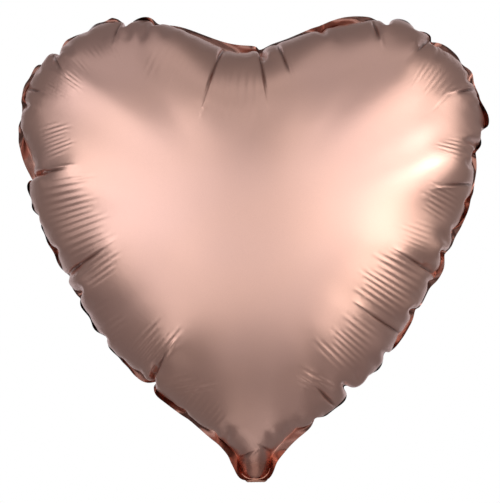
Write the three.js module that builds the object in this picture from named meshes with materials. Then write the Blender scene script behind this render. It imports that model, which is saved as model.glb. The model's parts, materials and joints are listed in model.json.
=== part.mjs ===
// A heart-shaped foil balloon, inflated, 370 mm wide: two metallised film panels sealed all round their margin,
// and a flat inflation neck at the heart's point, with the two films of a self-sealing valve inside.
// Millimetres, +Z up. The origin is the bottom of the point, where a ribbon is tied. The front faces -Y.
// The neck is creased at the point and tucked up behind the back panel, and it swings down on that crease.

import * as THREE from 'three';
import { LoftGeometry } from 'three/addons/geometries/LoftGeometry.js';
import { mergeGeometries } from 'three/addons/utils/BufferGeometryUtils.js';

// Driving dimensions

const depth = 196; // crown to crown, front to back
const wall = 0.8; // panel wall
const jointGap = 0.3; // between films that touch
const sealWidth = 6; // flat heat-sealed margin outside the inflated part
const sealThickness = 0.6; // each panel's share of the margin
const crown = new THREE.Vector2( 0, 208 ); // the fullest point, in the plane of the seal (x, z)
const crownFlat = 60; // across the flat middle of each panel
const roundRadius = 150; // the rings grow round towards the crown, as parts of a circle of this radius
const fullness = 0.46; // power of the inflated height: 0.5 is an ellipsoid, and less is fuller near the seal
const pointTaper = 0.55; // how much thinner the heart gets at its point than its width alone would make it
const pointReach = 33; // height over which that thinning fades

const neckWidth = 28;
const neckLength = 58;
const neckFilm = 0.5;
const channelWidth = 18; // unsealed middle of the neck and of the throat above it
const channelRamp = 1;
const channelRise = 0.8; // how far the channel stands above the sealed sides
const throatLength = 12; // the channel's way through the margin at the point
const foldAngle = THREE.MathUtils.degToRad( 133 ); // from hanging straight down to tucked behind

const valveFilm = 0.2;
const valveWidth = 16;
const valveOutletWidth = 12;
const valveReach = 100; // how far the valve runs up into the heart

// The right half of the margin's outer edge, from the neck's corner up to the cleft (x, z)

const heartAnchors = [
	[ neckWidth / 2, 0 ], [ 20, 16 ], [ 45, 40 ], [ 99, 87 ], [ 143, 150 ], [ 171, 213 ], [ 184.5, 272 ],
	[ 180, 307 ], [ 160, 338 ], [ 125, 358 ], [ 88, 364 ], [ 55, 358 ], [ 27, 346 ], [ 0, 340.5 ],
];
const halfSteps = 42; // even steps along that half
const ringShares = [ 0.36, 0.5, 0.63, 0.74, 0.83, 0.9, 0.95, 0.985 ]; // crown to seal, 1 being the seal

// Materials

const satinFoil = new THREE.MeshStandardMaterial( { color: 0xd9a592, metalness: 1, roughness: 0.38 } );
const neckFoil = new THREE.MeshStandardMaterial( { color: 0xb87a66, metalness: 1, roughness: 0.28 } );
const clearFilm = new THREE.MeshStandardMaterial( { color: 0xe9e7e2, metalness: 0, roughness: 0.2 } );

// The margin's outer edge, anticlockwise from the left corner of the throat as seen from the front

function heartOutline() {

	const curve = new THREE.CatmullRomCurve3(
		heartAnchors.map( ( [ x, z ] ) => new THREE.Vector3( x, 0, z ) ), false, 'centripetal' );
	const right = curve.getSpacedPoints( halfSteps ).map( ( p ) => new THREE.Vector2( p.x, p.z ) );
	const left = right.slice( 0, - 1 ).reverse().map( ( p ) => new THREE.Vector2( - p.x, p.y ) );
	return [ ...throatPoints( 0 ), ...right, ...left ];

}

// The throat's corners at a height: the foot and the top of the ramp on each side of the channel

function throatPoints( z ) {

	const foot = channelWidth / 2 + channelRamp;
	const top = channelWidth / 2;
	return [ - foot, - top, top, foot ].map( ( x ) => new THREE.Vector2( x, z ) );

}

// The same outline moved inwards. The throat and the neck's corners stop at the throat's upper end.

function insetOutline( outline, distance ) {

	const throat = throatPoints( 0 ).length;
	const inner = outline.map( ( point, i ) => {

		const before = outline.at( i - 1 );
		const after = outline[ ( i + 1 ) % outline.length ];
		const along = after.clone().sub( before ).normalize();
		return new THREE.Vector2( point.x - along.y * distance, point.y + along.x * distance );

	} );
	const upper = throatLength + distance - sealWidth;
	const corner = neckWidth / 2 - ( neckWidth - channelWidth ) / 4;
	inner.splice( 0, throat, ...throatPoints( upper ) );
	inner[ throat ].set( corner, upper );
	inner[ inner.length - 1 ].set( - corner, upper );
	return inner;

}

const sealEdge = heartOutline();
const seamLine = insetOutline( sealEdge, sealWidth );
const innerSeamLine = insetOutline( sealEdge, sealWidth + wall );

// How wide the heart is around a point: 2 pi over the seam's pull, the integral of ds / distance^2.
// In a circle of radius r it is r at the middle, and near a straight seam it is twice the distance to it.

function roominess( point ) {

	let pull = 0;
	seamLine.forEach( ( start, i ) => {

		const a = start.clone().sub( point );
		const b = seamLine[ ( i + 1 ) % seamLine.length ].clone().sub( point );
		const angle = Math.atan2( Math.abs( a.cross( b ) ), a.dot( b ) );
		const away = Math.abs( a.cross( b ) ) / a.distanceTo( b );
		if ( away > 1e-6 ) pull += angle / away;

	} );
	return 2 * Math.PI / pull;

}

const crownRoom = roominess( crown );

// A ring of the inflated surface. Share 1 is the seam, and smaller rings grow rounder towards the crown.

function surfaceRing( share, side, inset ) {

	return seamLine.map( ( point ) => {

		const out = point.clone().sub( crown );
		const round = out.clone().setLength( roundRadius );
		const at = round.lerp( out, share ** 2 ).multiplyScalar( share ).add( crown );
		const taper = 1 - pointTaper * Math.exp( - at.y / pointReach );
		const height = depth / 2 * taper * Math.min( 1, roominess( at ) / crownRoom ) ** fullness;
		const towardsCrown = crown.clone().sub( at ).setLength( inset );
		at.add( towardsCrown );
		return new THREE.Vector3( at.x, side * ( height - inset ), at.y );

	} );

}

// The flat middle of a panel, one ring in the plane of its crown

function crownRing( side, inset ) {

	return seamLine.map( ( point ) => {

		const at = point.clone().sub( crown ).setLength( crownFlat / 2 ).add( crown );
		return new THREE.Vector3( at.x, side * ( depth / 2 - inset ), at.y );

	} );

}

// A ring in the margin, raised where the channel passes through it

function marginRing( outline, side, height ) {

	return outline.map( ( point, i ) => {

		const inChannel = i === 1 || i === 2;
		return new THREE.Vector3( point.x, side * ( height + ( inChannel ? channelRise : 0 ) ), point.y );

	} );

}

// The faces of a geometry turned round

function turnedInsideOut( geometry ) {

	geometry.setIndex( Array.from( geometry.index.array ).reverse() );
	return geometry;

}

// One panel: an outer skin that ends in the margin's rim, and an inner skin that starts from it

function panelGeometry( side ) {

	const innerFace = jointGap / 2;
	const outerFace = innerFace + sealThickness;
	const outer = [
		crownRing( side, 0 ),
		...ringShares.map( ( share ) => surfaceRing( share, side, 0 ) ),
		marginRing( seamLine, side, outerFace ),
		marginRing( sealEdge, side, outerFace ),
		marginRing( sealEdge, side, innerFace ),
	];
	const inner = [
		crownRing( side, wall ),
		...ringShares.map( ( share ) => surfaceRing( share, side, wall ) ),
		marginRing( innerSeamLine, side, innerFace ),
		marginRing( sealEdge, side, innerFace ),
	];
	if ( side < 0 ) [ ...outer, ...inner ].forEach( ( ring ) => ring.reverse() );
	return mergeGeometries( [
		new LoftGeometry( outer, { capStart: true } ),
		turnedInsideOut( new LoftGeometry( inner, { capStart: true } ) ),
	] );

}

// Half of the neck, hanging from z = 0: flat sealed sides, and a raised middle that leaves the valve's channel

function neckFilmGeometry( side ) {

	const edge = neckWidth / 2;
	const top = channelWidth / 2;
	const low = jointGap / 2;
	const high = low + channelRise;
	const right = [ [ top, high ], [ top + channelRamp, low ], [ edge, low ] ];
	const left = right.map( ( [ x, y ] ) => [ - x, y ] ).reverse();
	const inside = [ ...left, ...right ];
	const outside = inside.map( ( [ x, y ] ) => [ x, y + neckFilm ] ).reverse();
	const shape = new THREE.Shape( [ ...inside, ...outside ].map( ( [ x, y ] ) => new THREE.Vector2( x, side * y ) ) );
	const geometry = new THREE.ExtrudeGeometry( shape, { depth: neckLength, bevelEnabled: false } );
	return geometry.translate( 0, 0, - neckLength );

}

// A valve film between two heights, tapering from its lower to its upper width

function valveFilmGeometry( side, bottom, top, lowerWidth, upperWidth ) {

	const shape = new THREE.Shape();
	shape.moveTo( - lowerWidth / 2, bottom );
	shape.lineTo( lowerWidth / 2, bottom );
	shape.lineTo( upperWidth / 2, top );
	shape.lineTo( - upperWidth / 2, top );
	const geometry = new THREE.ExtrudeGeometry( shape, { depth: valveFilm, bevelEnabled: false } );
	geometry.rotateX( Math.PI / 2 );
	return geometry.translate( 0, side * ( jointGap + valveFilm ) / 2 + valveFilm / 2, 0 );

}

function namedMesh( name, geometry, material ) {

	const mesh = new THREE.Mesh( geometry, material );
	mesh.name = name;
	return mesh;

}

// The sealed heart, with the valve's sleeve inside it from the throat upwards

function buildEnvelope() {

	const envelope = new THREE.Group();
	for ( const [ place, side ] of [ [ 'front', - 1 ], [ 'back', 1 ] ] ) {

		const sleeve = valveFilmGeometry( side, 0, valveReach, valveWidth, valveOutletWidth );
		envelope.add( namedMesh( `${ place }_panel`, panelGeometry( side ), satinFoil ) );
		envelope.add( namedMesh( `valve_sleeve_${ place }`, sleeve, clearFilm ) );

	}

	return envelope;

}

// The neck, turned about the crease, which runs along the back face of the margin's bottom edge

function buildNeck() {

	const creaseBehind = jointGap / 2 + sealThickness + channelRise;
	const crease = new THREE.Group();
	crease.position.y = creaseBehind;
	crease.rotation.x = foldAngle;
	const neck = new THREE.Group();
	neck.position.set( 0, - creaseBehind, - jointGap );
	crease.add( neck );
	for ( const [ place, side ] of [ [ 'front', - 1 ], [ 'back', 1 ] ] ) {

		const mouth = valveFilmGeometry( side, - neckLength, 0, valveWidth, valveWidth );
		neck.add( namedMesh( `neck_${ place }_film`, neckFilmGeometry( side ), neckFoil ) );
		neck.add( namedMesh( `valve_mouth_${ place }`, mouth, clearFilm ) );

	}

	return crease;

}

const balloon = new THREE.Group();
balloon.add( buildEnvelope(), buildNeck() );

export default balloon;
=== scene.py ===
"""An inflated heart-shaped balloon of satin rose-copper film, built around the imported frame.

The two film sheets start as one flat heart, sealed to each other along a seam. A small position-based
solver blows them up: the film bends easily and hardly stretches, so the long creases, the pillows between
them and the scalloped margin outside the seam come from the cut of the film, as on the real object.
The solver works in millimetres, with the sheets in the xz plane and the front facing -y.
"""

import json
import math

import bpy
import numpy as np
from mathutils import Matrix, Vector
from mathutils.geometry import delaunay_2d_cdt


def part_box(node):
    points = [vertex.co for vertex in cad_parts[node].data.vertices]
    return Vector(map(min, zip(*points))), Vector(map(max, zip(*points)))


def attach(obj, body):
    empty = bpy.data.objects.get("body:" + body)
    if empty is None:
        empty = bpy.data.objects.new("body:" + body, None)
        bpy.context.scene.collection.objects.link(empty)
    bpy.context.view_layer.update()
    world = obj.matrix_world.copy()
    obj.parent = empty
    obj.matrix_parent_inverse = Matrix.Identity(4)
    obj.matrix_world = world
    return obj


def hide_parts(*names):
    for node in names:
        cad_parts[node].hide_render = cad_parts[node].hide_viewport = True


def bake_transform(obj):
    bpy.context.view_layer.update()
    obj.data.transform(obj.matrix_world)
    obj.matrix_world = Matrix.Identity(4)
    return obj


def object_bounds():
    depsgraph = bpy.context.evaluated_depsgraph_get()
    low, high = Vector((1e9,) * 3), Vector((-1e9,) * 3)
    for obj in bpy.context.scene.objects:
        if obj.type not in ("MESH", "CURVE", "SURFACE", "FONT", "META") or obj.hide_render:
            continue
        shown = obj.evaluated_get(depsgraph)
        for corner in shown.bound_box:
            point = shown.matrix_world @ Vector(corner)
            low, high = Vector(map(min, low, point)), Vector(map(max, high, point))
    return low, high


# The flat film: the right half of its cut edge, from the point up to the cleft, about the heart's middle

FILM_EDGE = [
    (0, -237), (8.5, -236), (18, -231), (28, -222), (38, -215.5), (50, -209), (65, -202),
    (84, -191), (108, -173), (156, -130), (193, -70), (222, 0), (225, 50), (227, 96), (211, 141),
    (178, 173), (141, 199), (97, 205), (46, 203), (0, 200),
]
ANCHOR_STEPS = 12  # from one of those to the next, along a smooth line
MARGIN = 7.0  # sealed strip outside the seam
POINT_MARGIN = 0.15  # share of the margin that is left at the very point, where the neck joins
POINT_SIZE = (9.0, 5.0)  # how far from the point, across and up, the margin grows to most of its width
MARGIN_ROWS = 3

# The creases: the direction from the flat heart's middle, in degrees, and the length seen from the front

CREASES = [
    (3, 6), (7, 35), (14, 6), (22, 9), (30, 24), (34, 5), (47, 27), (52, 5), (58, 5), (62, 25),
    (73, 6), (83, 35), (88, 46), (97, 58), (111, 8), (121, 19), (130, 5), (139, 26), (144, 5),
    (149, 18), (157, 5), (169, 36), (178, 6), (184, 6), (190, 5), (197, 46), (204, 5), (210, 5),
    (217, 6), (225, 6), (234, 38), (242, 6), (249, 6), (257, 6), (264, 16), (277, 16), (284, 6),
    (289, 6), (295, 32), (301, 6), (308, 6), (315, 6), (322, 44), (330, 6), (342, 40), (348, 6),
    (354, 6),
]
LONG = 15  # a crease at least this long is a fold that closes on itself
FULL_LENGTH = 42  # one this long pulls its two sides together fully
HIDDEN_LENGTH = 50  # of each long crease, round the side and so out of sight from the front
SHORT_LENGTH = 24  # of each short one on the film

# Mesh of the film

SEAM_STEP = 2.4
STEP_GROWTH = 0.03  # the spacing grows by this much for each millimetre inwards
RING_SPACING = 0.87  # of that spacing, between rings, so that the triangles are about even
ROUND_RADIUS = 172.0  # the inner rings grow towards a circle of this radius
INNERMOST = 0.03  # the smallest ring, as a share of the seam
CREASE_ROWS = (-4.4, -2.1, 0.0, 2.1, 4.4)  # rows of points beside each long crease
CREASE_STEP = 2.6
CLEAR_OF_ROWS = 0.75  # share of its spacing that a ring's point keeps from those rows
RING_TURN = 7  # points by which each ring's first one is moved on from that of the ring before
JITTER = 0.06
SEED = 5

# Inflation

START_DOME = 10.0  # how far each sheet starts from the flat
START_SLOPE = 25.0  # the distance from the seam over which it rises to most of that
UNEVENNESS = 0.05
STEPS = 1300
PRESSURE = 0.0025
END_PRESSURE = 0.4  # share of the pressure at the last step
DAMPING = 0.985
SQUEEZE = 0.3  # how firmly the film resists being shortened, 1 being rigid
BENDING = 0.024
CREASE_WIDTH = 2.1
CREASE_PULL = 3.4  # lack of pressure along a full crease, so that its two sides close over it
SHORT_PULL = 3.8  # and along a short one, and where any crease starts at the seam
PULL_CHANGES = (5, 25)  # distances along a crease over which the one becomes the other
LAST_PULL = 0.25  # share of the pull that is left from near the settling on
SETTLE = 0.7  # share of the steps after which the pressure eases off
AT_ONCE = 2000  # places measured at once, to save memory


def soft_step(value, start, end):
    """0 before start, 1 after end, and smooth between."""
    share = np.clip((value - start) / (end - start), 0, 1)
    return share * share * (3 - 2 * share)


def smooth_loop(half):
    """A closed loop of points through half an outline and its mirror image."""
    anchors = np.array([(-half[1][0], half[1][1]), *half, (-half[-2][0], half[-2][1])], float)
    right = []
    for p0, p1, p2, p3 in zip(anchors, anchors[1:], anchors[2:], anchors[3:]):
        for t in np.linspace(0, 1, ANCHOR_STEPS, endpoint=False):
            linear = (p2 - p0) * t
            square = (2 * p0 - 5 * p1 + 4 * p2 - p3) * t * t
            cube = (3 * p1 - p0 - 3 * p2 + p3) * t**3
            right.append(0.5 * (2 * p1 + linear + square + cube))
    right.append(anchors[-2])
    right = np.array(right)
    left = right[-2:0:-1] * (-1, 1)
    return np.vstack([right, left])


def evenly_spaced(loop, step):
    """Points along a closed loop, about step apart."""
    closed = np.vstack([loop, loop[:1]])
    along = np.r_[0, np.cumsum(np.linalg.norm(np.diff(closed, axis=0), axis=1))]
    places = np.linspace(0, along[-1], round(along[-1] / step), endpoint=False)
    return np.c_[np.interp(places, along, closed[:, 0]), np.interp(places, along, closed[:, 1])]


def inward(loop):
    """Unit normals of an anticlockwise loop, pointing into it."""
    along = np.roll(loop, -1, 0) - np.roll(loop, 1, 0)
    along /= np.linalg.norm(along, axis=1)[:, None]
    return np.c_[-along[:, 1], along[:, 0]]


def degrees_round(places):
    """The direction of each flat place from the flat heart's middle, from 0 to 360."""
    return np.degrees(np.arctan2(places[:, 1], places[:, 0])) % 360


def degrees_apart(degrees, angle):
    """How far each direction is from one direction, the shorter way round."""
    return np.abs((degrees - angle + 180) % 360 - 180)


def crease_lines(seam):
    """Every crease: its start on the seam, its direction, its length on the film, and its strength.

    The strength is 0 for a short crease, and grows with a long one's length to 1.
    """
    degrees, normals = degrees_round(seam), inward(seam)
    lines = []
    for angle, length in CREASES:
        at = np.argmin(degrees_apart(degrees, angle))
        if length >= LONG:
            lines.append((seam[at], normals[at], length + HIDDEN_LENGTH, min(1, length / FULL_LENGTH)))
        else:
            lines.append((seam[at], normals[at], SHORT_LENGTH, 0))
    return lines


def film_points(seam, lines, rng):
    """Points inside the seam: rows beside the long creases, and rings that grow wider apart inwards."""
    rows = []
    for start, direction, length, strength in lines:
        if not strength:
            continue
        side = np.array([-direction[1], direction[0]])
        for offset in CREASE_ROWS:
            along = np.arange(3 * SEAM_STEP, length, CREASE_STEP)
            rows.append(start + along[:, None] * direction + offset * side)
    rows = np.vstack(rows)
    radius = np.linalg.norm(seam, axis=1)[:, None]
    rings = []
    distance = 0.0
    while True:
        step = SEAM_STEP + STEP_GROWTH * distance
        distance += step * RING_SPACING
        share = 1 - distance / ROUND_RADIUS
        if share < INNERMOST:
            break
        shape = (1 - share**2) * seam / radius * ROUND_RADIUS + share**2 * seam
        ring = np.roll(evenly_spaced(shape * share, step), RING_TURN * len(rings), 0)
        ring += rng.normal(0, step * JITTER, ring.shape)
        nearest = np.array([np.linalg.norm(rows - p, axis=1).min() for p in ring])
        rings.append(ring[nearest > CLEAR_OF_ROWS * step])
    return np.vstack([*rings, rows, np.zeros((1, 2))])


def triangles_of(seam, points):
    """Triangles over the seam loop and the points in it, all anticlockwise."""
    count = len(seam)
    every = np.vstack([seam, points])
    loop = [(i, (i + 1) % count) for i in range(count)]
    found = delaunay_2d_cdt([Vector(p) for p in every], loop, [list(range(count))], 1, 1e-6)
    if len(found[0]) != len(every):
        raise ValueError("the film's points lie on each other")
    faces = np.array([list(f) for f in found[2]])
    one, two = every[faces[:, 1]] - every[faces[:, 0]], every[faces[:, 2]] - every[faces[:, 0]]
    clockwise = one[:, 0] * two[:, 1] < one[:, 1] * two[:, 0]
    faces[clockwise] = faces[clockwise][:, ::-1]
    return faces


def margin_faces(seam_count, first):
    """Two triangles for each seam step and each row of the margin, whose vertices start at first."""
    here = np.arange(seam_count)
    after = np.roll(here, -1)
    faces = []
    inner = here
    for row in range(MARGIN_ROWS):
        outer = first + row * seam_count + here
        faces.append(np.c_[inner, outer, outer[after]])
        faces.append(np.c_[inner, outer[after], inner[after]])
        inner = outer
    return np.vstack(faces)


def make_film():
    """The flat film: its rest positions, the faces of both sheets and of the margin, and what pulls."""
    rng = np.random.default_rng(SEED)
    edge = evenly_spaced(smooth_loop(FILM_EDGE), SEAM_STEP)
    seam = evenly_spaced(edge + inward(edge) * MARGIN, SEAM_STEP)
    lines = crease_lines(seam)
    points = film_points(seam, lines, rng)
    faces = triangles_of(seam, points)
    n, sheet = len(seam), len(seam) + len(points)
    front = faces
    to_back = np.r_[np.arange(n), np.arange(sheet, sheet + len(points))]
    back = to_back[faces[:, ::-1]]
    above_point = seam[:, 1] - seam[:, 1].min()
    from_point = (seam[:, 0] / POINT_SIZE[0]) ** 2 + (above_point / POINT_SIZE[1]) ** 2
    width = MARGIN * (1 - (1 - POINT_MARGIN) * np.exp(-from_point))
    outward = -inward(seam) * width[:, None]
    rows = [seam + outward * row / MARGIN_ROWS for row in range(1, MARGIN_ROWS + 1)]
    rest = np.vstack([seam, points, points, *rows])
    margin = margin_faces(n, sheet + len(points))
    mask = np.zeros(len(rest))
    for start, direction, length, strength in lines:
        from_start = rest - start
        along = np.clip(from_start @ direction, -MARGIN, length)
        away = np.linalg.norm(from_start - along[:, None] * direction, axis=1)
        fade = 1 - np.clip(along / length, 0, 1) ** 4
        pull = SHORT_PULL + (CREASE_PULL - SHORT_PULL) * strength * soft_step(along, *PULL_CHANGES)
        mask = np.maximum(mask, pull * fade * np.exp(-((away / CREASE_WIDTH) ** 2)))
    return {
        "rest": rest, "seam": seam, "front": front, "back": back, "margin": margin,
        "sheet": sheet, "mask": mask, "rng": rng,
    }


def sides_of(faces):
    """The three sides of each face, as sorted pairs: first sides, then second sides, then third sides."""
    return np.sort(np.vstack([faces[:, [0, 1]], faces[:, [1, 2]], faces[:, [2, 0]]]), axis=1)


def opposite_corners(faces):
    """For each inner edge, the two vertices across it."""
    sides = sides_of(faces)
    across = np.r_[faces[:, 2], faces[:, 0], faces[:, 1]]
    order = np.lexsort((sides[:, 1], sides[:, 0]))
    sides, across = sides[order], across[order]
    same = (sides[1:] == sides[:-1]).all(1)
    return np.c_[across[:-1][same], across[1:][same]]


def independent_groups(pairs, rest):
    """The pairs in groups that share no vertex, each with its rest lengths, so a group moves at once."""
    used = [0] * len(rest)
    colours = []
    for a, b in pairs.tolist():
        taken = used[a] | used[b]
        colour = 0
        while taken >> colour & 1:
            colour += 1
        colours.append(colour)
        used[a] |= 1 << colour
        used[b] |= 1 << colour
    colours = np.array(colours)
    lengths = np.linalg.norm(rest[pairs[:, 0]] - rest[pairs[:, 1]], axis=1)
    return [
        (pairs[colours == c, 0], pairs[colours == c, 1], lengths[colours == c])
        for c in range(colours.max() + 1)
    ]


def pressure_force(points, faces):
    """The push of unit pressure on each vertex."""
    a, b, c = points[faces.T]
    share = np.cross(b - a, c - a) / 6
    force = np.empty_like(points)
    for axis in range(3):
        weights = share[:, axis]
        force[:, axis] = sum(np.bincount(faces[:, k], weights, len(points)) for k in range(3))
    return force


def vertex_areas(rest, faces):
    """A third of each neighbouring triangle, for each vertex."""
    a, b, c = rest[faces.T]
    areas = np.abs(np.cross(b - a, c - a)) / 2
    return sum(np.bincount(faces[:, k], areas / 3, len(rest)) for k in range(3))


def distance_to_seam(points, seam):
    """How far the seam is from each flat point."""
    ahead = np.roll(seam, -1, 0) - seam
    square = np.linalg.norm(ahead, axis=1) ** 2
    away = []
    for first in range(0, len(points), AT_ONCE):
        offset = points[first : first + AT_ONCE, None] - seam[None]
        share = np.clip((offset * ahead).sum(2) / square, 0, 1)
        away.append(np.linalg.norm(offset - share[:, :, None] * ahead, axis=2).min(1))
    return np.concatenate(away)


def inflate(film):
    """The film's vertices once it is full, in millimetres."""
    rest, sheet, n = film["rest"], film["sheet"], len(film["seam"])
    walls = np.vstack([film["front"], film["back"]])
    every = np.vstack([walls, film["margin"]])
    edges = independent_groups(np.unique(sides_of(every), axis=0), rest)
    bend_pairs = np.vstack([opposite_corners(film[part]) for part in ("front", "back", "margin")])
    bends = independent_groups(bend_pairs, rest)
    areas = vertex_areas(rest, every)
    usual = np.median(areas)
    ease = usual / areas  # one over the mass

    away = distance_to_seam(rest[:sheet], film["seam"])
    dome = START_DOME * np.sqrt(1 - np.exp(-away / START_SLOPE))
    points = np.zeros((len(rest), 3))
    points[:, [0, 2]] = rest
    points[:sheet, 1] = -dome
    points[sheet : 2 * sheet - n, 1] = dome[n:]
    points[:, 1] += film["rng"].normal(0, UNEVENNESS, len(rest))
    speed = np.zeros_like(points)

    def pull_together(groups, stretching, shortening):
        for a, b, length in groups:
            gap = points[a] - points[b]
            size = np.sqrt(np.einsum("ij,ij->i", gap, gap))
            excess = size - length
            firm = np.where(excess > 0, stretching, shortening)
            move = (firm * excess / (size * (ease[a] + ease[b]) + 1e-12))[:, None] * gap
            points[a] -= ease[a][:, None] * move
            points[b] += ease[b][:, None] * move

    for step in range(STEPS):
        time = step / STEPS
        unpressed = film["mask"] * max(LAST_PULL, 1 - time / SETTLE)
        eased = 1 if time < SETTLE else 1 - (1 - END_PRESSURE) * (time - SETTLE) / (1 - SETTLE)
        pressure = PRESSURE * eased
        if step % 2 == 0:
            push = pressure_force(points, walls)
        speed += pressure * ((1 - unpressed) * ease / usual)[:, None] * push
        speed *= DAMPING
        before = points.copy()
        points += speed
        pull_together(edges, 1.0, SQUEEZE)
        if step % 2 == 0:
            pull_together(bends, BENDING, BENDING)
        pull_together(edges[::-1], 1.0, SQUEEZE)
        speed = points - before
    return points


# The fine surface of the full film

FOLD_ANGLE = 70  # an edge folded more sharply than this is shaded as an edge
FILM_GAP = 0.12  # each sheet's shift from the middle of the sealed margin

# How the full film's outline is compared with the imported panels' outline

EDGE_POINTS = 12  # on each edge of a packed panel's mesh
OUTLINE_STEPS = 360
OUTLINE_SMOOTHING = 3.0  # degrees
MIDDLE_RISE = 15.0  # of the point that both are seen from, above the panels' middle
EASED_FROM_TO = (50, 150)  # distances from there over which the change grows to its full amount

# Smoothing: the film well inside the seam is pulled tight, and what is too fine for the mesh is removed

TIGHT_FROM_TO = (44, 78)  # distances from the seam over which the tightness grows
TIGHT_ROUNDS = 50
EVERYWHERE_ROUNDS = 2
EVERYWHERE_SHARE = 0.5
MARGIN_ROUNDS = 3
HALF_WAY = 0.5  # towards the neighbours' mean, in one round
LEAST_WEIGHT = 0.02  # of a neighbour across a thin triangle

# Fine wrinkles between the long creases. Each line is a row of ridges that run inwards from the seam: from
# and to, in degrees round the flat heart's middle, where the ridges begin and end inwards of the seam as
# seen from the front, pitch and height.

WRINKLES = [
    (171, 195, 14, 54, 5.4, 0.25),
    (198, 206, 16, 48, 4.6, 0.34),
    (160, 168, 22, 44, 3.8, 0.2),
    (140, 148, 20, 44, 3.4, 0.2),
    (124, 137, 22, 40, 4.0, 0.12),
    (89, 96, 26, 60, 4.6, 0.22),
    (98, 108, 26, 50, 5.0, 0.08),
    (33, 45, 22, 44, 5.0, 0.08),
    (9, 16, 14, 34, 4.0, 0.14),
    (-5, 3, 16, 42, 4.4, 0.26),
    (345, 354, 20, 44, 4.2, 0.1),
    (324, 341, 14, 54, 5.0, 0.36),
    (304, 320, 22, 50, 4.8, 0.2),
    (296, 303, 14, 46, 4.4, 0.24),
    (224, 233, 16, 48, 5.0, 0.36),
    (236, 243, 14, 38, 4.8, 0.2),
    (246, 256, 10, 30, 4.4, 0.16),
    (209, 221, 10, 28, 5.5, 0.12),
]
WAY_IN = 80.0  # how far along the film the ways inwards are aimed
WAY_SPREAD = 12.0  # degrees either side over which a row's way inwards is averaged
CLOSING = 1 / 150  # at most, how fast the ridges of a row may run together
LEAST_PITCH = 0.3  # share of its pitch that a row keeps as it closes
ROW_REACH = (-20, 80)  # how far out of the seam and inwards of it a row may lie
UNEVEN_PITCH = (0.9, 0.83)  # a row's pitch wavers by this phase, at this many radians to a ridge
UNEVEN_ENDS = (5, 1.7)  # and its ridges' inner ends by these millimetres, at these radians to a ridge
NEAR_FADE = (-10, 6)  # where a row begins, about its near distance
FAR_FADE = 18  # and the length over which it ends
WRINKLED = 0.12  # the mesh is finer where a row has at least this share of its height

# The sharp bottom of each long crease, with a low ridge along one side

GROOVE_DEPTH = 1.3
GROOVE_WIDTH = 0.9
RIDGE_HEIGHT = 0.5
RIDGE_WIDTH = 1.1
RIDGE_OFFSET = 1.5
SEAM_TAPER = 7.0  # the groove grows over this length, so that the seam stays closed
OPENS_OVER = (0.55, 0.95)  # shares of a crease's length over which its two sides come apart
RIDGE_GROWS = (0.3, 0.7)  # shares of it over which the ridge grows
PAST_END = 8.0  # how far past the crease the ridge runs out
CREASE_PAINTED_SHADE = 0.75  # painted shade: how far a crease's bottom is darkened towards the margin's dark copper
GROOVE_REACH = 3.0  # the mesh is finer up to this far from a crease
FINE_EDGE = 0.6  # and where its edges are longer than this share of that reach
MARGIN_FADE = (0.2, 1.5)  # distances outside the seam over which the margin's darkened copper, partly painted shade, comes in
WELD_DECIMALS = 5  # places that agree to this many are one


def only_used(values, faces):
    """The rows of values that the faces use, and the faces renumbered to match."""
    used, numbers = np.unique(faces, return_inverse=True)
    return values[used], numbers.reshape(faces.shape)


def cut_in_four(corners, middles):
    """Four triangles for each one, from its three corners and the middles of its three sides."""
    (a, b, c), (ab, bc, ca) = corners, middles
    return np.vstack([np.c_[a, ab, ca], np.c_[ab, b, bc], np.c_[ca, bc, c], np.c_[ab, bc, ca]])


def loop_subdivided(values, faces):
    """One round of Loop subdivision of a triangle mesh. values has a row of numbers for each vertex."""
    edges, numbers, uses = np.unique(sides_of(faces), axis=0, return_inverse=True, return_counts=True)
    numbers = numbers.reshape(-1)
    across = np.r_[faces[:, 2], faces[:, 0], faces[:, 1]]
    ends = values[edges[:, 0]] + values[edges[:, 1]]
    opposite = np.zeros_like(ends)
    np.add.at(opposite, numbers, values[across])
    on_rim = (uses == 1)[:, None]
    middles = np.where(on_rim, ends / 2, ends * 3 / 8 + opposite / 8)
    valence = np.bincount(edges.ravel(), minlength=len(values))
    around = np.zeros_like(values)
    rim_around = np.zeros_like(values)
    for one, other in ((0, 1), (1, 0)):
        np.add.at(around, edges[:, one], values[edges[:, other]])
        np.add.at(rim_around, edges[uses == 1, one], values[edges[uses == 1, other]])
    weight = np.where(valence == 3, 3 / 16, 3 / (8 * valence))
    moved = (1 - valence * weight)[:, None] * values + weight[:, None] * around
    rim = np.unique(edges[uses == 1])
    moved[rim] = values[rim] * 3 / 4 + rim_around[rim] / 8
    quarters = cut_in_four(faces.T, numbers.reshape(3, -1) + len(values))
    return np.vstack([moved, middles]), quarters


def vertex_normals(points, faces):
    """Unit normals, each the mean of its faces' normals by area."""
    a, b, c = points[faces.T]
    face_normals = np.cross(b - a, c - a)
    normals = np.zeros_like(points)
    for k in range(3):
        np.add.at(normals, faces[:, k], face_normals)
    return normals / (np.linalg.norm(normals, axis=1)[:, None] + 1e-12)


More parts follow.
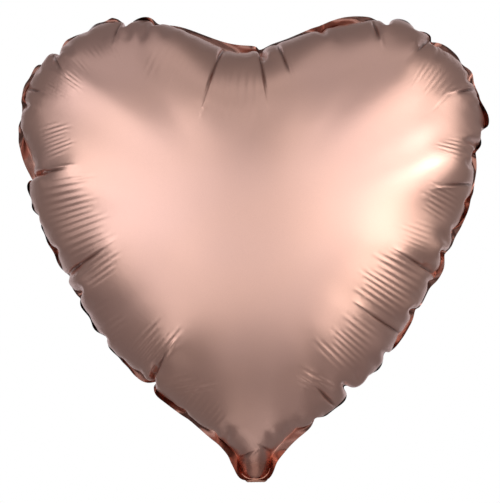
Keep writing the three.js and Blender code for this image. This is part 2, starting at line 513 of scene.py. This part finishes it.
def refined(values, faces, chosen):
    """The chosen triangles cut in four, and their neighbours cut to match them.

    The first three numbers of each row are the place. New places lie on the arc that the normals give.
    """
    edges, numbers = np.unique(sides_of(faces), axis=0, return_inverse=True)
    of_face = numbers.reshape(3, -1).T
    cut = np.zeros(len(edges), bool)
    cut[of_face[chosen]] = True
    while True:
        half_cut = cut[of_face].sum(1) == 2
        if not half_cut.any():
            break
        cut[of_face[half_cut]] = True
    normals = vertex_normals(values[:, :3], faces)
    a, b = edges[cut].T
    middles = (values[a] + values[b]) / 2
    for end in (a, b):
        height = ((values[end, :3] - middles[:, :3]) * normals[end]).sum(1)
        middles[:, :3] += normals[end] * (height / 4)[:, None]
    new = np.full(len(edges), -1)
    new[cut] = len(values) + np.arange(cut.sum())
    new_of_face = new[of_face]
    cuts = cut[of_face].sum(1)
    out = [faces[cuts == 0], cut_in_four(faces[cuts == 3].T, new_of_face[cuts == 3].T)]
    for turn in range(3):
        here = (cuts == 1) & (new_of_face[:, turn] >= 0)
        a, b, c = np.roll(faces[here], -turn, axis=1).T
        middle = new_of_face[here, turn]
        out += [np.c_[a, middle, c], np.c_[middle, b, c]]
    return np.vstack([values, middles]), np.vstack(out)


def seen(points):
    """Places as seen from the front."""
    return points[:, [0, 2]]


def ways_in(points, film):
    """A function that gives, for a direction round the flat heart, where its seam is and the way inwards.

    Both are as seen from the front of the full film. With a spread, the way is the mean over that many
    degrees either side.
    """
    seam, sheet = film["seam"], film["sheet"]
    degrees, normals = degrees_round(seam), inward(seam)

    def way_in(angle, spread=0.0):
        gap = degrees_apart(degrees, angle)
        at = np.argmin(gap)
        near = np.flatnonzero(gap <= spread)[::2] if spread else [at]
        aims = seam[near] + normals[near] * WAY_IN
        inner = [np.argmin(np.linalg.norm(film["rest"][:sheet] - aim, axis=1)) for aim in aims]
        way = (seen(points[inner]) - seen(points[near])).mean(0)
        return seen(points[[at]])[0], way / np.linalg.norm(way)

    return way_in


def wrinkle_height(places, seam_seen, way_in):
    """How far the fine wrinkles move each place outwards, in millimetres, and where there are any."""
    away = distance_to_seam(places, seam_seen)
    height, inside = np.zeros(len(places)), np.zeros(len(places), bool)
    for start, end, near, far, pitch, rise in WRINKLES:
        (first, first_way), (last, last_way) = way_in(start, WAY_SPREAD), way_in(end, WAY_SPREAD)
        half = np.linalg.norm(last - first) / 2
        sideways = (last - first) / (2 * half)
        inwards = np.array([-sideways[1], sideways[0]])
        closing = np.clip((first_way - last_way) @ sideways / 2 / half, -CLOSING, CLOSING)
        offset = places - (first + last) / 2
        depth = offset @ inwards
        place = offset @ sideways / np.maximum(1 - closing * depth, LEAST_PITCH) + half
        ridge = place / pitch
        phase = 2 * math.pi * ridge + UNEVEN_PITCH[0] * np.sin(ridge * UNEVEN_PITCH[1] + start)
        reach = far + UNEVEN_ENDS[0] * np.sin(ridge * UNEVEN_ENDS[1] + end)
        across = soft_step(place, -pitch, pitch)
        across *= 1 - soft_step(place, 2 * half - pitch, 2 * half + pitch)
        across *= (depth > ROW_REACH[0]) & (depth < ROW_REACH[1])
        begun = soft_step(away, near + NEAR_FADE[0], near + NEAR_FADE[1])
        lengthwise = begun * (1 - soft_step(away, reach - FAR_FADE, reach))
        height += rise * across * lengthwise * np.sin(phase)
        inside |= (across * lengthwise) > WRINKLED
    return height, inside


def groove_height(places, way_in):
    """How far the long creases move each place, how near the nearest is, and how deep it lies in one."""
    height, deepest = np.zeros(len(places)), np.zeros(len(places))
    nearest = np.full(len(places), np.inf)
    for number, (angle, length) in enumerate(CREASES):
        if length < LONG:
            continue
        start, way = way_in(angle)
        from_start = places - start
        along = from_start @ way
        offset = from_start @ (-way[1], way[0]) * (1 if number % 2 else -1)
        opened = soft_step(along, *(share * length for share in OPENS_OVER))
        taper = soft_step(along, 0, SEAM_TAPER) * (1 - opened)
        groove = taper * np.exp(-((offset / GROOVE_WIDTH) ** 2))
        grown = soft_step(along, *(share * length for share in RIDGE_GROWS))
        ended = soft_step(along, length - PAST_END / 4, length + PAST_END)
        ridge = grown * (1 - ended) * np.exp(-(((offset - RIDGE_OFFSET) / RIDGE_WIDTH) ** 2))
        height += RIDGE_HEIGHT * ridge - GROOVE_DEPTH * groove
        inside = (along > 0) & (along < length + PAST_END)
        nearest = np.minimum(nearest, np.where(inside, np.abs(offset), np.inf))
        deepest = np.maximum(deepest, groove)
    return height, nearest, deepest


def welded(values, faces):
    """Vertices that lie on each other joined."""
    _, first, numbers = np.unique(
        np.round(values[:, :3], WELD_DECIMALS), axis=0, return_index=True, return_inverse=True
    )
    return values[first], numbers.reshape(-1)[faces]


def sheet_surface(points, film, part):
    """One sheet with its half of the margin: places, faces, and how far the margin's dark copper shows
    there, which in the crease bottoms is painted shade.
    """
    rest = film["rest"]
    values, faces = only_used(np.c_[points, rest], film[part])
    values, faces = loop_subdivided(values, faces)
    seam_seen, way_in = seen(points[: len(film["seam"])]), ways_in(points, film)
    for reach in (GROOVE_REACH, GROOVE_REACH / 2):
        fine = groove_height(seen(values), way_in)[1] < reach
        if reach == GROOVE_REACH:
            fine |= wrinkle_height(seen(values), seam_seen, way_in)[1]
        corners = values[faces, :3]
        longest = np.linalg.norm(corners - np.roll(corners, 1, axis=1), axis=2).max(1)
        values, faces = refined(values, faces, fine[faces].all(1) & (longest > reach * FINE_EDGE))
    groove, _, crease_painted_shade = groove_height(seen(values), way_in)
    height = wrinkle_height(seen(values), seam_seen, way_in)[0] + groove
    values[:, :3] += vertex_normals(values[:, :3], faces) * height[:, None]

    strip = film["margin"] if part == "front" else film["margin"][:, ::-1]
    edge_values, edge_faces = only_used(np.c_[points, rest], strip)
    edge_values, edge_faces = loop_subdivided(edge_values, edge_faces)
    outside = soft_step(distance_to_seam(edge_values[:, 3:], film["seam"]), *MARGIN_FADE)
    apart = vertex_normals(edge_values[:, :3], edge_faces) * (outside * FILM_GAP)[:, None]
    edge_values[:, :3] += apart

    # Painted shade: the crease bottoms take on the margin's dark copper, stored together with the margin's
    # own share
    share = np.r_[CREASE_PAINTED_SHADE * crease_painted_shade, outside]
    every = np.c_[np.vstack([values, edge_values])[:, :3], share]
    every, faces = welded(every, np.vstack([faces, edge_faces + len(values)]))
    return every[:, :3], faces, every[:, 3]


def add_mesh(name, places, faces, material):
    """A smooth mesh object, with its places in metres."""
    mesh = bpy.data.meshes.new(name)
    mesh.from_pydata(places.tolist(), [], faces.tolist())
    mesh.polygons.foreach_set("use_smooth", [True] * len(mesh.polygons))
    mesh.set_sharp_from_angle(angle=math.radians(FOLD_ANGLE))
    mesh.materials.append(material)
    mesh.update()
    piece = bpy.data.objects.new(name, mesh)
    bpy.context.scene.collection.objects.link(piece)
    return piece


def flat_area(film, part):
    """The flat area of one sheet with its margin, in square metres."""
    return sum(vertex_areas(film["rest"], film[name]).sum() for name in (part, "margin")) * 1e-6


def shape_weights(rest, faces):
    """Edges of the flat film, and weights with which an even stretch of the film is left as it is."""
    edges, weights = [], []
    for k in range(3):
        tip, a, b = np.roll(faces, -k, axis=1).T
        to_a, to_b = rest[a] - rest[tip], rest[b] - rest[tip]
        turned = np.abs(to_a[:, 0] * to_b[:, 1] - to_a[:, 1] * to_b[:, 0])
        edges.append(np.stack([a, b], axis=1))
        weights.append(np.maximum((to_a * to_b).sum(1) / turned, LEAST_WEIGHT))
    return np.vstack(edges), np.concatenate(weights)


def smoothed_inside(points, film):
    """The film with its coarse bumps ironed out well inside the seam, where it is pulled tight."""
    rest, sheet, n = film["rest"], film["sheet"], len(film["seam"])
    away = distance_to_seam(rest[:sheet], film["seam"])
    share = np.zeros(len(rest))
    share[:sheet] = soft_step(away, *TIGHT_FROM_TO)
    share[sheet : 2 * sheet - n] = share[n:sheet]
    edges, weights = shape_weights(rest, np.vstack([film["front"], film["back"]]))
    a, b = edges.T
    total = np.bincount(np.r_[a, b], np.r_[weights, weights], len(rest))
    smooth = points.copy()
    for done in range(TIGHT_ROUNDS):
        around = np.stack([
            np.bincount(np.r_[a, b], np.r_[weights * smooth[b, axis], weights * smooth[a, axis]], len(rest))
            for axis in range(3)
        ], axis=1)
        mean = around / np.maximum(total, 1e-9)[:, None]
        everywhere = EVERYWHERE_SHARE if done < EVERYWHERE_ROUNDS else 0
        move = HALF_WAY * np.maximum(share, everywhere) * (total > 0)
        smooth += (mean - smooth) * move[:, None]
    rows = smooth[2 * sheet - n :].reshape(MARGIN_ROWS, n, 3)
    for _ in range(MARGIN_ROUNDS):
        rows += ((np.roll(rows, 1, axis=1) + np.roll(rows, -1, axis=1)) / 2 - rows) * HALF_WAY
    return smooth


def to_frame(points):
    """The full film scaled, by a few per cent, and moved to fill the box of the two packed panels."""
    low, high = (np.array([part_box(node)[k] for node in PANELS]) * 1000 for k in (0, 1))
    low, high = low.min(0), high.max(0)
    own_low, own_high = points.min(0), points.max(0)
    return low + (points - own_low) * (high - low) / (own_high - own_low)


def turns_round(offset):
    """The direction of each offset in the xz plane, as a share of a turn."""
    return (np.arctan2(offset[:, 1], offset[:, 0]) / (2 * math.pi)) % 1


def outline_reach(places, middle):
    """How far an outline in the xz plane reaches from its middle in each direction, smoothed."""
    offset = seen(places) - middle
    turns = turns_round(offset)
    steps = (turns * OUTLINE_STEPS).astype(int) % OUTLINE_STEPS
    reach = np.zeros(OUTLINE_STEPS)
    np.maximum.at(reach, steps, np.linalg.norm(offset, axis=1))
    known = np.flatnonzero(reach)
    reach = np.interp(np.arange(OUTLINE_STEPS), known, reach[known], period=OUTLINE_STEPS)
    away = np.arange(OUTLINE_STEPS) - OUTLINE_STEPS // 2
    weight = np.exp(-((away * 360 / OUTLINE_STEPS / OUTLINE_SMOOTHING) ** 2) / 2)
    weight = np.roll(weight / weight.sum(), -(OUTLINE_STEPS // 2))
    return np.fft.irfft(np.fft.rfft(reach) * np.fft.rfft(weight), OUTLINE_STEPS)


def edge_points(mesh):
    """Points close together along every edge of a packed panel, in millimetres."""
    places = np.array([v.co[:] for v in mesh.vertices]) * 1000
    edges = np.array([e.vertices[:] for e in mesh.edges])
    shares = np.linspace(0, 1, EDGE_POINTS)[:, None, None]
    return (places[edges[:, 0]] * (1 - shares) + places[edges[:, 1]] * shares).reshape(-1, 3)


def eased_to_outline(points, panel):
    """The film with its broad bulges drawn to a packed panel's outline, its creases and scallops kept."""
    target = edge_points(panel.data)
    middle = np.array([0, (target[:, 2].min() + target[:, 2].max()) / 2 + MIDDLE_RISE])
    ratio = outline_reach(target, middle) / outline_reach(points, middle)
    offset = seen(points) - middle
    steps = turns_round(offset) * OUTLINE_STEPS - 0.5
    scale = np.interp(steps, np.arange(OUTLINE_STEPS), ratio, period=OUTLINE_STEPS)
    share = soft_step(np.linalg.norm(offset, axis=1), *EASED_FROM_TO)
    eased = points.copy()
    eased[:, [0, 2]] = middle + offset * (1 + (scale - 1) * share)[:, None]
    return eased


def build_sheets(frame, foil):
    """The front and the back sheet, each in one piece with its half of the margin."""
    film = make_film()
    points = smoothed_inside(to_frame(inflate(film)), film)
    points = to_frame(eased_to_outline(to_frame(points), frame["nodes"][PANELS[0]]))
    width, length = (np.ptp(film["rest"], axis=0) / 1000).tolist()
    for part, node in zip(("front", "back"), PANELS):
        places, faces, share = sheet_surface(points, film, part)
        piece = add_mesh(part + "_foil", places / 1000, faces, foil)
        # The margin attribute also carries the painted shade of the crease bottoms
        attribute = piece.data.attributes.new("margin", "FLOAT", "POINT")
        attribute.data.foreach_set("value", share.astype(np.float32))
        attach(piece, "envelope")
        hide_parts(node)
        flat_area(film, part)


# The neck: two films sealed along both sides, creased at the heart's point and tucked up behind it

NECK_WIDTH = 28.0
NECK_OVERLAP = 5.0  # how far it reaches up into the point
NECK_CHANNEL = 9.0  # half of the unsealed middle
NECK_RISE = 0.75  # how far each film bulges from the middle of the neck
NECK_SEAL = 0.1
NECK_FILM = 0.12
NECK_ROOT = 0.8  # share of its width where it leaves the point
NECK_WIDENS = (0, 14)  # distances along the neck over which it comes to its full width
NECK_OPENS = (-2, 12)  # and over which the bulge and the crinkles grow, from
NECK_PINCHED = 0.35  # this share of the bulge
NECK_BOW = 4.5  # how much higher its sides are than its middle at the point, so that the point ends round
BOW_ENDS = (2, 18)  # distances along the neck over which that fades
BOW_SIDES = (6.5, 12)  # distances from its middle over which it grows
CHANNEL_EDGE = (-0.8, 1)  # about the channel's edge, where the bulge falls to the sealed side
RIBS = (0.14, 2.1)  # height, and radians to a millimetre across
CRINKLE = (0.08, 0.55, 0.35)  # height, and radians to a millimetre along and across
FRILL = (0.22, 0.8, 0.2)  # of the sealed sides: height, and radians to a millimetre along and between films
NECK_STEP = 0.7
NECK_COLUMNS = 57
NECK_END_GAP = 1.0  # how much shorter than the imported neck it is


def neck_line(length, radius, fold):
    """Places along the neck's middle and the direction behind it there: straight down, round, then up."""
    turn = radius * fold
    along = np.arange(-NECK_OVERLAP, turn + length + NECK_STEP / 2, NECK_STEP)
    angle = np.clip(along, 0, turn) / radius
    straight = np.maximum(along - turn, 0)
    above = np.minimum(along, 0)
    y = radius * (1 - np.cos(angle)) + straight * math.sin(fold)
    z = -radius * np.sin(angle) - straight * math.cos(fold) - above
    normals = np.c_[np.cos(angle), np.sin(angle)]
    return np.c_[y, z], normals, along


def neck_sheet(side, line, behind, along):
    """One film of the neck as a closed thin mesh. side is -1 for the outer film and 1 for the inner one."""
    across = np.linspace(-NECK_WIDTH / 2, NECK_WIDTH / 2, NECK_COLUMNS)
    rows = []
    for place, normal, t in zip(line, behind, along):
        opened = soft_step(t, *NECK_OPENS)
        across_here = across * (NECK_ROOT + (1 - NECK_ROOT) * soft_step(t, *NECK_WIDENS))
        from_middle = np.abs(across_here)
        bulge = 1 - soft_step(from_middle - NECK_CHANNEL, *CHANNEL_EDGE)
        sealed = soft_step(from_middle, NECK_CHANNEL, NECK_WIDTH / 2)
        ribs = RIBS[0] * np.sin(RIBS[1] * across + side) * bulge
        crinkle = CRINKLE[0] * np.sin(CRINKLE[1] * t + CRINKLE[2] * across) * bulge
        frill = FRILL[0] * np.sin(FRILL[1] * t + FRILL[2] * side) * sealed
        rise = NECK_SEAL + (NECK_RISE + ribs) * bulge * (NECK_PINCHED + (1 - NECK_PINCHED) * opened)
        lift = side * rise + (crinkle + frill) * opened
        bow = NECK_BOW * (1 - soft_step(t, *BOW_ENDS)) * soft_step(from_middle, *BOW_SIDES)
        rows.append([
            (x, *(place + normal * h + (0, b)), *normal) for x, h, b in zip(across_here, lift, bow)
        ])
    grid = np.array(rows)
    inner = grid[:, :, :3].reshape(-1, 3)
    thick = np.concatenate([np.zeros((len(inner), 1)), grid[:, :, 3:].reshape(-1, 2)], axis=1)
    outer = inner + side * NECK_FILM * thick
    size = len(inner)
    numbers = np.arange(size).reshape(grid.shape[:2])
    corners = (numbers[:-1, :-1], numbers[:-1, 1:], numbers[1:, 1:], numbers[1:, :-1])
    quads = np.stack([corner.ravel() for corner in corners], axis=1)
    rim = np.r_[numbers[0], numbers[1:, -1], numbers[-1, -2::-1], numbers[-2:0:-1, 0]]
    after = np.roll(rim, -1)
    wall = np.c_[after, rim, rim + size, after + size]
    faces = np.vstack([quads, quads[:, ::-1] + size, wall])
    if side > 0:
        faces = faces[:, ::-1]
    return np.vstack([inner, outer]), faces


def build_neck(frame, foil):
    """Both films of the neck, each bending from the envelope to the neck's own body."""
    joint = frame["joints"][0]
    radius = joint["pos_m"][1] * 1000
    fold = math.radians(joint["range_deg"][1])
    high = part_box("neck_back_film")[1]
    length = (high.z * 1000 + radius * math.sin(fold)) / -math.cos(fold) - NECK_END_GAP
    line, behind, along = neck_line(length, radius, fold)
    for name, side, node in (("neck_outer", -1, "neck_front_film"), ("neck_inner", 1, "neck_back_film")):
        places, faces = neck_sheet(side, line, behind, along)
        piece = add_mesh(name, places / 1000, faces, foil)
        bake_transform(piece)
        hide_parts(node)


# Materials

SATIN = (0.885, 0.555, 0.46, 1)
SATIN_CLOUD = (0.85, 0.54, 0.47, 1)  # its broad variation
SATIN_SPECKLE = (0.66, 0.42, 0.35, 1)  # its grain
# The margin's bare copper, made darker than its own colour as painted shade; the crease bottoms take it on
# as painted shade too
MARGIN_COPPER_AND_PAINTED_SHADE = (0.27, 0.13, 0.105, 1)
POINT_COPPER = (0.62, 0.27, 0.195, 1)
NECK_COPPER = (0.55, 0.29, 0.22, 1)
NECK_COPPER_LIGHT = (0.64, 0.3, 0.21, 1)
CLEAR = (0.93, 0.93, 0.91, 1)
CLEAR_HAZE = (0.84, 0.85, 0.84, 1)
FLOOR_PALE = (0.86, 0.86, 0.85, 1)
FLOOR_SHADE = (0.8, 0.8, 0.79, 1)
SATIN_ROUGHNESS = (0.33, 0.41)  # from one speckle to the next
COPPER_ROUGHNESS = 0.24
NECK_ROUGHNESS = (0.18, 0.28)
HAZE_ROUGHNESS = (0.12, 0.3)
CLEARNESS = 0.7
FLOOR_ROUGHNESS = 0.7
SPECKLE_SCALE = 1500.0  # each noise's cells to the metre
CLOUD_SCALE = 9.0
CRUMPLE_SCALE = 75.0
HAZE_SCALE = 120.0
FLOOR_SCALE = 3.0
SPECKLED = 0.12  # share of the speckle's darker colour at most
SPECKLE_BUMP = {"Strength": 0.06, "Distance": 0.0003}
CRUMPLE_BUMP = {"Strength": 0.4, "Distance": 0.002}
NARROW, WIDE = (0.35, 0.65), (0.3, 0.7)  # the parts of a noise's range that are stretched to all of it
POINT_HEIGHTS = (0.014, 0.032)  # in metres, over which the point's bare copper gives way to satin
POINT_SHARE = 0.85  # how bare the copper is there


class Shader:
    """A material whose nodes are added and linked by short calls."""

    def __init__(self, name):
        self.material = bpy.data.materials.new(name)
        self.material.use_nodes = True
        self.tree = self.material.node_tree
        self.surface = self.tree.nodes["Principled BSDF"]

    def add(self, kind, **inputs):
        """A node of one kind, with its inputs set to numbers or linked to other nodes' sockets."""
        node = self.tree.nodes.new("ShaderNode" + kind)
        for name, value in inputs.items():
            self.plug(node.inputs[name.replace("_", " ")], value)
        return node

    def plug(self, socket, value):
        """An input set to a number or colour, or linked to another node's socket."""
        if isinstance(value, bpy.types.NodeSocket):
            self.tree.links.new(value, socket)
        else:
            socket.default_value = value

    def set(self, **inputs):
        """Inputs of the shader itself, by name with _ for each space."""
        for name, value in inputs.items():
            self.plug(self.surface.inputs[name.replace("_", " ")], value)

    def noise(self, scale, detail=2.0):
        """Noise from 0 to 1 that stays fixed to the object, with scale in cells to the metre."""
        place = self.add("TexCoord").outputs["Object"]
        return self.add("TexNoise", Vector=place, Scale=scale, Detail=detail).outputs["Fac"]

    def between(self, value, low, high, start=0.0, end=1.0):
        """value turned from the range start to end into the range low to high."""
        node = self.add("MapRange", Value=value, From_Min=start, From_Max=end, To_Min=low, To_Max=high)
        return node.outputs["Result"]

    def mixed(self, share, first, second):
        """A colour between two."""
        node = self.tree.nodes.new("ShaderNodeMix")
        node.data_type = "RGBA"
        sockets = {s.identifier: s for s in node.inputs}
        for name, value in (("Factor_Float", share), ("A_Color", first), ("B_Color", second)):
            self.plug(sockets[name], value)
        return next(s for s in node.outputs if s.identifier == "Result_Color")

    def joined(self, one, operation, other):
        """Two numbers or sockets joined by arithmetic."""
        node = self.tree.nodes.new("ShaderNodeMath")
        node.operation = operation
        for socket, value in zip(node.inputs, (one, other)):
            self.plug(socket, value)
        return node.outputs[0]


def satin_foil():
    """Metallised film with a fine satin print, and bare glossier copper on the margin and at the point. The
    margin's copper is darkened as painted shade, and the crease bottoms are darkened with it as painted
    shade.
    """
    shader = Shader("satin_foil")
    height = shader.add("SeparateXYZ", Vector=shader.add("TexCoord").outputs["Object"]).outputs["Z"]
    margin = shader.tree.nodes.new("ShaderNodeAttribute")
    margin.attribute_name = "margin"
    point = shader.joined(shader.between(height, 1.0, 0.0, *POINT_HEIGHTS), "MULTIPLY", POINT_SHARE)
    bare = shader.joined(margin.outputs["Fac"], "MAXIMUM", point)
    speckle = shader.noise(SPECKLE_SCALE, 3.0)
    cloud = shader.noise(CLOUD_SCALE)
    satin = shader.mixed(shader.between(cloud, 0.0, 1.0, *NARROW), SATIN, SATIN_CLOUD)
    grained = shader.mixed(shader.between(speckle, 0.0, SPECKLED, *NARROW), satin, SATIN_SPECKLE)
    film_tone = shader.mixed(point, grained, POINT_COPPER)
    # Painted shade: the margin and the crease bottoms take on the darkened margin copper
    tone = shader.mixed(margin.outputs["Fac"], film_tone, MARGIN_COPPER_AND_PAINTED_SHADE)
    satin_rough = shader.between(speckle, *SATIN_ROUGHNESS, *WIDE)
    difference = shader.joined(COPPER_ROUGHNESS, "SUBTRACT", satin_rough)
    roughness = shader.joined(satin_rough, "ADD", shader.joined(bare, "MULTIPLY", difference))
    normal = shader.add("Bump", Height=speckle, **SPECKLE_BUMP).outputs["Normal"]
    shader.set(Base_Color=tone, Metallic=1.0, Roughness=roughness, Normal=normal)
    return shader.material


def neck_foil():
    """The bare glossy copper film of the neck, lightly crumpled."""
    shader = Shader("neck_foil")
    crumple = shader.noise(CRUMPLE_SCALE)
    tone = shader.mixed(shader.between(crumple, 0.0, 1.0, *WIDE), NECK_COPPER, NECK_COPPER_LIGHT)
    roughness = shader.between(crumple, *NECK_ROUGHNESS, *WIDE)
    normal = shader.add("Bump", Height=crumple, **CRUMPLE_BUMP).outputs["Normal"]
    shader.set(Base_Color=tone, Metallic=1.0, Roughness=roughness, Normal=normal)
    return shader.material


def valve_film():
    """The clear film of the valve inside."""
    shader = Shader("valve_film")
    haze = shader.noise(HAZE_SCALE)
    tone, roughness = shader.mixed(haze, CLEAR, CLEAR_HAZE), shader.between(haze, *HAZE_ROUGHNESS)
    shader.set(Base_Color=tone, Roughness=roughness, Transmission_Weight=CLEARNESS)
    return shader.material


# Studio: light, floor and camera

WHITE = (1.0, 1.0, 1.0)
WARM = (1.0, 0.96, 0.9)
COOL = (0.88, 0.92, 1.0)

# Each soft light: direction round the balloon and above it in degrees, width and height in metres,
# brightness, and colour where it isn't white. Direction 0 is straight in front, and 90 is on the right.

LIGHT_DISTANCE = 2.4
LIGHTS = {
    "left_low": (-50, -24, 1.1, 1.05, 0.8),
    "left": (-54, 0, 1.4, 1.05, 1.3),
    "left_high": (-54, 24, 1.4, 1.05, 0.95),
    "front_left_low": (-25, -24, 1.1, 1.05, 0.65),
    "front_left": (-25, 0, 1.1, 1.05, 1.2),
    "front_left_high": (-25, 24, 1.1, 1.05, 1.05),
    "front_low": (0, -22, 1.1, 0.95, 0.56),
    "front": (0, 0, 1.1, 1.05, 0.55),
    "front_below": (0, -46, 2.0, 0.7, 0.18),
    "front_right_low": (25, -24, 1.1, 1.05, 0.5),
    "front_right": (25, 0, 1.1, 1.05, 1.3),
    "front_right_high": (25, 24, 1.1, 1.05, 0.85),
    "right_low": (53, -24, 1.3, 1.05, 1.45, WARM),
    "right": (50, 0, 1.1, 1.05, 1.9, WARM),
    "right_high": (50, 24, 1.1, 1.05, 1.15, WARM),
    "right_key": (60, 12, 0.5, 0.7, 4.2),
    "far_left": (-77, 2, 1.0, 1.8, 0.5),
    "far_right": (77, 6, 1.0, 1.8, 1.45, WARM),
    "above_front": (0, 50, 2.4, 1.0, 0.38),
    "above": (0, 80, 3.0, 1.2, 0.4),
    "behind": (180, 5, 3.2, 2.4, 0.65, COOL),
}
ROOM_BELOW = (0.18, 0.16, 0.16)
ROOM_LEVEL = (0.16, 0.15, 0.15)
ROOM_ABOVE = (0.17, 0.16, 0.16)

FLOOR_DROP = 1.6
FLOOR_RINGS = [(0.5, 0.0), (0.69, 0.0), (0.7, -0.004), (0.7, -0.02)]  # the radius and height of each
FLOOR_SIDES = 96
VIEW_SIZE = 0.395  # height of what the camera sees, at the balloon
VIEW_SHIFT = (-0.003, -0.0017)  # of the view's middle from the balloon's, to the right and up
LENS, SENSOR = 100.0, 36.0
ROLL = 0.58  # degrees


def add_light(name, middle, azimuth, elevation, width, height, brightness, colour=WHITE):
    """A rectangular light that faces the balloon's middle and isn't seen by the camera itself."""
    lamp = bpy.data.lights.new(name, "AREA")
    lamp.shape = "RECTANGLE"
    lamp.size, lamp.size_y = width, height
    lamp.energy = brightness * math.pi * width * height
    lamp.color = colour
    light = bpy.data.objects.new(name, lamp)
    around, up = math.radians(azimuth), math.radians(elevation)
    away = Vector((math.sin(around) * math.cos(up), -math.cos(around) * math.cos(up), math.sin(up)))
    light.location = middle + away * LIGHT_DISTANCE
    light.rotation_euler = (-away).to_track_quat("-Z", "Y").to_euler()
    light.visible_camera = False
    bpy.context.scene.collection.objects.link(light)


def build_room():
    """A white backdrop as the camera sees it, and a dim room as the foil reflects it."""
    world = bpy.data.worlds.new("studio")
    bpy.context.scene.world = world
    world.use_nodes = True
    tree = world.node_tree
    tree.nodes.clear()
    direction = tree.nodes.new("ShaderNodeTexCoord")
    parts = tree.nodes.new("ShaderNodeSeparateXYZ")
    up = tree.nodes.new("ShaderNodeMapRange")
    up.inputs["From Min"].default_value = -1.0
    ramp = tree.nodes.new("ShaderNodeValToRGB")
    ramp.color_ramp.elements[0].color = (*ROOM_BELOW, 1)
    ramp.color_ramp.elements[1].color = (*ROOM_ABOVE, 1)
    level = ramp.color_ramp.elements.new(0.5)
    level.color = (*ROOM_LEVEL, 1)
    room = tree.nodes.new("ShaderNodeBackground")
    backdrop = tree.nodes.new("ShaderNodeBackground")
    backdrop.inputs["Color"].default_value = (1, 1, 1, 1)
    rays = tree.nodes.new("ShaderNodeLightPath")
    choice = tree.nodes.new("ShaderNodeMixShader")
    output = tree.nodes.new("ShaderNodeOutputWorld")
    for source, target in (
        (direction.outputs["Generated"], parts.inputs["Vector"]),
        (parts.outputs["Z"], up.inputs["Value"]),
        (up.outputs["Result"], ramp.inputs["Fac"]),
        (ramp.outputs["Color"], room.inputs["Color"]),
        (rays.outputs["Is Camera Ray"], choice.inputs["Fac"]),
        (room.outputs["Background"], choice.inputs[1]),
        (backdrop.outputs["Background"], choice.inputs[2]),
        (choice.outputs["Shader"], output.inputs["Surface"]),
    ):
        tree.links.new(source, target)


def build_floor(height):
    """A plain pale disc under the balloon, with a softly rounded rim."""
    turn = np.linspace(0, 2 * math.pi, FLOOR_SIDES, endpoint=False)
    places = [(r * math.cos(a), r * math.sin(a), height + z) for r, z in FLOOR_RINGS for a in turn]
    places.append((0, 0, height))
    faces = []
    for first in range(0, FLOOR_SIDES * (len(FLOOR_RINGS) - 1), FLOOR_SIDES):
        for k in range(FLOOR_SIDES):
            a, b = first + k, first + (k + 1) % FLOOR_SIDES
            faces.append((a, a + FLOOR_SIDES, b + FLOOR_SIDES, b))
    faces += [(len(places) - 1, k, (k + 1) % FLOOR_SIDES) for k in range(FLOOR_SIDES)]
    shader = Shader("pale_floor")
    shade = shader.mixed(shader.noise(FLOOR_SCALE), FLOOR_PALE, FLOOR_SHADE)
    shader.set(Base_Color=shade, Roughness=FLOOR_ROUGHNESS)
    mesh = bpy.data.meshes.new("floor")
    mesh.from_pydata(places, [], faces)
    mesh.materials.append(shader.material)
    floor = bpy.data.objects.new("floor", mesh)
    bpy.context.scene.collection.objects.link(floor)


def build_studio(low, high):
    """The room, the lights and the floor round the object's box, and the camera in front of it."""
    middle = (low + high) / 2
    scene = bpy.context.scene
    scene.view_settings.view_transform = "Standard"
    build_room()
    for name, settings in LIGHTS.items():
        add_light("light_" + name, middle, *settings)
    build_floor(low.z - FLOOR_DROP)
    camera = bpy.data.objects.new("camera", bpy.data.cameras.new("camera"))
    camera.data.lens, camera.data.sensor_width = LENS, SENSOR
    distance = VIEW_SIZE * LENS / SENSOR
    camera.location = (VIEW_SHIFT[0], -distance, middle.z + VIEW_SHIFT[1])
    camera.rotation_euler = (math.pi / 2, math.radians(ROLL), 0)
    scene.collection.objects.link(camera)
    scene.camera = camera


PANELS = ("front_panel", "back_panel")

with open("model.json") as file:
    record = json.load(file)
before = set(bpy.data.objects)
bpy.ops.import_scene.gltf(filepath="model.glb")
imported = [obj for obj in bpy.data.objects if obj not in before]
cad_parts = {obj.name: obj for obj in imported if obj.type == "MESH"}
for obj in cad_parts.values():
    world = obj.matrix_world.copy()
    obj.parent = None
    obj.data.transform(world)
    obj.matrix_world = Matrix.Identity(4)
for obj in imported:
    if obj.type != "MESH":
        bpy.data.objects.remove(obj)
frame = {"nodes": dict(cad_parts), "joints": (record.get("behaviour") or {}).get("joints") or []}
cad_low, cad_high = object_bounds()
build_sheets(frame, satin_foil())
build_neck(frame, neck_foil())
clear = valve_film()
for node in frame["nodes"].values():
    if node.name.startswith("valve_"):
        node.data.materials.clear()
        node.data.materials.append(clear)
build_studio(cad_low, cad_high)
